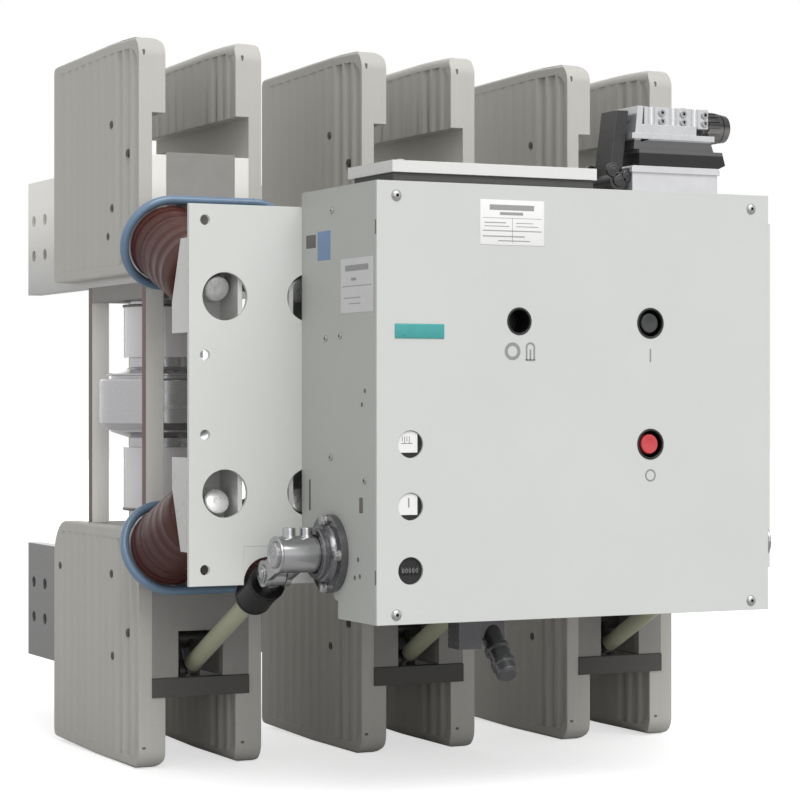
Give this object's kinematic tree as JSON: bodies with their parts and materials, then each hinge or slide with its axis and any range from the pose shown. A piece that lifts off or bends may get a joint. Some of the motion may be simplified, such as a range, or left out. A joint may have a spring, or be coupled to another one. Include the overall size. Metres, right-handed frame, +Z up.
{
  "type": "vacuum circuit breaker",
  "caption": "Fixed vacuum circuit breaker: heat-sinked interrupter poles on insulators, front drive housing, rods that open and close the contacts.",
  "frame": {"origin": "on the floor plane, under the middle of the breaker's box", "axes": "+Z up, +X to the right along the housing's front, +Y from the housing's front towards the terminals"},
  "size_m": [0.757, 0.827, 0.816],
  "materials": {
    "plate_paint": "satin",
    "seat_paint": "satin",
    "brown_resin": "satin",
    "ring_blue": "satin",
    "strut_grey": "matt",
    "sink_aluminium": "extruded",
    "terminal_metal": "plated",
    "cast_aluminium": "cast",
    "white_ceramic": "glazed",
    "chamber_steel": "brushed",
    "rod_olive": "satin",
    "black_plastic": "satin",
    "link_steel": "bright",
    "dark_paint": "satin",
    "housing_grey": "satin",
    "cover_light": "satin",
    "button_dark": "gloss",
    "button_red": "gloss",
    "white_plastic": "satin",
    "plug_aluminium": "cast",
    "black_rubber": "matt"
  },
  "bodies": {
    "base": {"mounting_plate": "plate_paint", "insulator_seats": "seat_paint", "shield_rings": "ring_blue", "struts": "strut_grey", "shaft_bearings": "link_steel", "housing": "housing_grey", "front_cover": "cover_light", "button_sleeves": "black_plastic", "indicator_faces": "white_plastic", "crank_socket": "black_plastic", "top_tray": "cover_light", "plug_socket": "plug_aluminium", "plug_seal": "black_rubber", "plug_hood": "plug_aluminium", "plug_lever": "dark_paint", "cable_gland": "black_plastic", "damper": "link_steel", "insulators_1": "brown_resin", "insulators_2": "brown_resin", "insulators_3": "brown_resin", "heat_sinks_1": "sink_aluminium", "heat_sinks_2": "sink_aluminium", "heat_sinks_3": "sink_aluminium", "terminals_1": "terminal_metal", "terminals_2": "terminal_metal", "terminals_3": "terminal_metal", "upper_support_1": "cast_aluminium", "upper_support_2": "cast_aluminium", "upper_support_3": "cast_aluminium", "lower_support_1": "cast_aluminium", "lower_support_2": "cast_aluminium", "lower_support_3": "cast_aluminium", "interrupter_ceramics_1": "white_ceramic", "interrupter_ceramics_2": "white_ceramic", "interrupter_ceramics_3": "white_ceramic", "interrupter_metal_1": "chamber_steel", "interrupter_metal_2": "chamber_steel", "interrupter_metal_3": "chamber_steel"},
    "main_shaft": {"main_shaft": "link_steel"},
    "on_button": {"on_button": "button_dark"},
    "off_button": {"off_button": "button_red"},
    "rod_1": {"coupling_rod_1": "rod_olive", "rod_cap_1": "black_plastic", "rod_eyes_1": "link_steel"},
    "crank_1": {"bell_crank_1": "dark_paint"},
    "rod_2": {"coupling_rod_2": "rod_olive", "rod_cap_2": "black_plastic", "rod_eyes_2": "link_steel"},
    "crank_2": {"bell_crank_2": "dark_paint"},
    "rod_3": {"coupling_rod_3": "rod_olive", "rod_cap_3": "black_plastic", "rod_eyes_3": "link_steel"},
    "crank_3": {"bell_crank_3": "dark_paint"}
  },
  "joints": [
    {"name": "shaft_turn", "type": "hinge", "parent": "base", "child": "main_shaft", "pos_m": [0, -0.3055, 0.254], "axis": [1, 0, 0], "range_deg": [-35, 0]},
    {"name": "rod_1_swing", "type": "hinge", "parent": "main_shaft", "child": "rod_1", "pos_m": [-0.275, -0.24802, 0.23077], "axis": [1, 0, 0], "range_deg": [0, 42.6]},
    {"name": "rod_2_swing", "type": "hinge", "parent": "main_shaft", "child": "rod_2", "pos_m": [0, -0.24802, 0.23077], "axis": [1, 0, 0], "range_deg": [0, 42.6]},
    {"name": "rod_3_swing", "type": "hinge", "parent": "main_shaft", "child": "rod_3", "pos_m": [0.275, -0.24802, 0.23077], "axis": [1, 0, 0], "range_deg": [0, 42.6]},
    {"name": "crank_1_swing", "type": "hinge", "parent": "base", "child": "crank_1", "pos_m": [-0.275, 0.02811, 0.13991], "axis": [1, 0, 0], "range_deg": [-16.1, 0]},
    {"name": "crank_2_swing", "type": "hinge", "parent": "base", "child": "crank_2", "pos_m": [0, 0.02811, 0.13991], "axis": [1, 0, 0], "range_deg": [-16.1, 0]},
    {"name": "crank_3_swing", "type": "hinge", "parent": "base", "child": "crank_3", "pos_m": [0.275, 0.02811, 0.13991], "axis": [1, 0, 0], "range_deg": [-16.1, 0]},
    {"name": "on_press", "type": "slide", "parent": "base", "child": "on_button", "axis": [0, 1, 0], "range_m": [0, 0.006], "stiffness_N_per_m": 300, "springref_m": -0.01},
    {"name": "off_press", "type": "slide", "parent": "base", "child": "off_button", "axis": [0, 1, 0], "range_m": [0, 0.006], "stiffness_N_per_m": 300, "springref_m": -0.01}
  ],
  "couplings": [
    {"joint": "rod_1_swing", "follows": "shaft_turn", "ratio": -1.2154},
    {"joint": "rod_2_swing", "follows": "shaft_turn", "ratio": -1.2154},
    {"joint": "rod_3_swing", "follows": "shaft_turn", "ratio": -1.2154},
    {"joint": "crank_1_swing", "follows": "shaft_turn", "ratio": 0.46},
    {"joint": "crank_2_swing", "follows": "shaft_turn", "ratio": 0.46},
    {"joint": "crank_3_swing", "follows": "shaft_turn", "ratio": 0.46}
  ]
}
